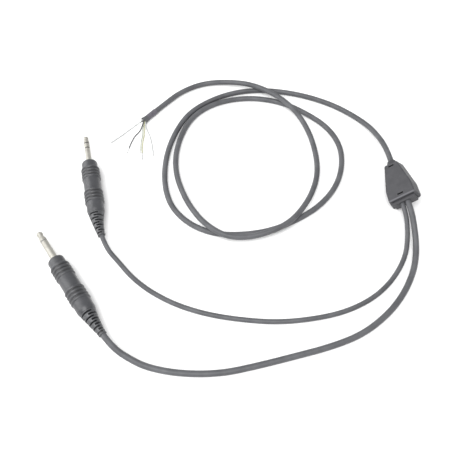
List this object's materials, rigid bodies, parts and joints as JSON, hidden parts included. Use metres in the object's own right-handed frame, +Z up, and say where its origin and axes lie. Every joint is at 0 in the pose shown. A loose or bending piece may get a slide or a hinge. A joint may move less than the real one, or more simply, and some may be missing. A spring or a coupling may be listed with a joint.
{
  "type": "aviation headset cord set",
  "caption": "Replacement headset cord: stripped lead, Y junction box and two moulded aircraft plugs for phones and microphone.",
  "frame": {"origin": "on the ground, under the middle of the box round both plugs and the junction box", "axes": "+Z up from the ground, +Y away from the viewer, +X towards the junction box"},
  "size_m": [0.3479, 0.3328, 0.0259],
  "materials": {
    "handle": "satin moulded rubber",
    "jacket": "satin flexible jacket",
    "junction": "fine matte moulded",
    "grommet": "satin",
    "contact": "nickel plated, turned",
    "insulator": "moulded black",
    "inner_mould": "natural moulding",
    "crimp": "plain brass",
    "wire": "wire insulation",
    "splice_sleeve": "shrunk tubing",
    "end_sleeve": "shrunk tubing",
    "tinned": "tinned copper strands",
    "black_lead": "thin lead insulation",
    "yellow_lead": "thin lead insulation",
    "green_lead": "thin lead insulation",
    "grey_lead": "thin lead insulation"
  },
  "bodies": {
    "root": {"mic_plug_tip_contact": "contact", "mic_plug_ring_contact": "contact", "mic_plug_sleeve_contact": "contact", "mic_plug_tip_insulator": "insulator", "mic_plug_ring_insulator": "insulator", "mic_plug_inner_mould": "inner_mould", "mic_plug_cord_crimp": "crimp", "mic_plug_wires": "wire", "mic_plug_cord_tail": "jacket", "mic_plug_handle": "handle", "mic_plug_strain_relief": "handle", "phones_plug_tip_contact": "contact", "phones_plug_sleeve_contact": "contact", "phones_plug_tip_insulator": "insulator", "phones_plug_inner_mould": "inner_mould", "phones_plug_cord_crimp": "crimp", "phones_plug_wires": "wire", "phones_plug_cord_tail": "jacket", "phones_plug_handle": "handle", "phones_plug_strain_relief": "handle", "junction_cover": "junction", "junction_base": "junction", "main_cord_grommet": "junction", "mic_leg_grommet": "grommet", "phones_leg_grommet": "grommet", "main_cord_tail": "jacket", "mic_leg_tail": "jacket", "phones_leg_tail": "jacket", "splice_wires": "wire", "splice_sleeves": "splice_sleeve", "main_cord": "jacket", "mic_leg": "jacket", "phones_leg": "jacket", "end_sleeve": "end_sleeve", "jacket_flare": "jacket", "screen_lead": "tinned", "black_lead": "black_lead", "yellow_lead": "yellow_lead", "green_lead": "green_lead", "grey_lead": "grey_lead", "black_lead_tip": "tinned", "yellow_lead_tip": "tinned", "green_lead_tip": "tinned", "grey_lead_tip": "tinned"}
  },
  "joints": []
}
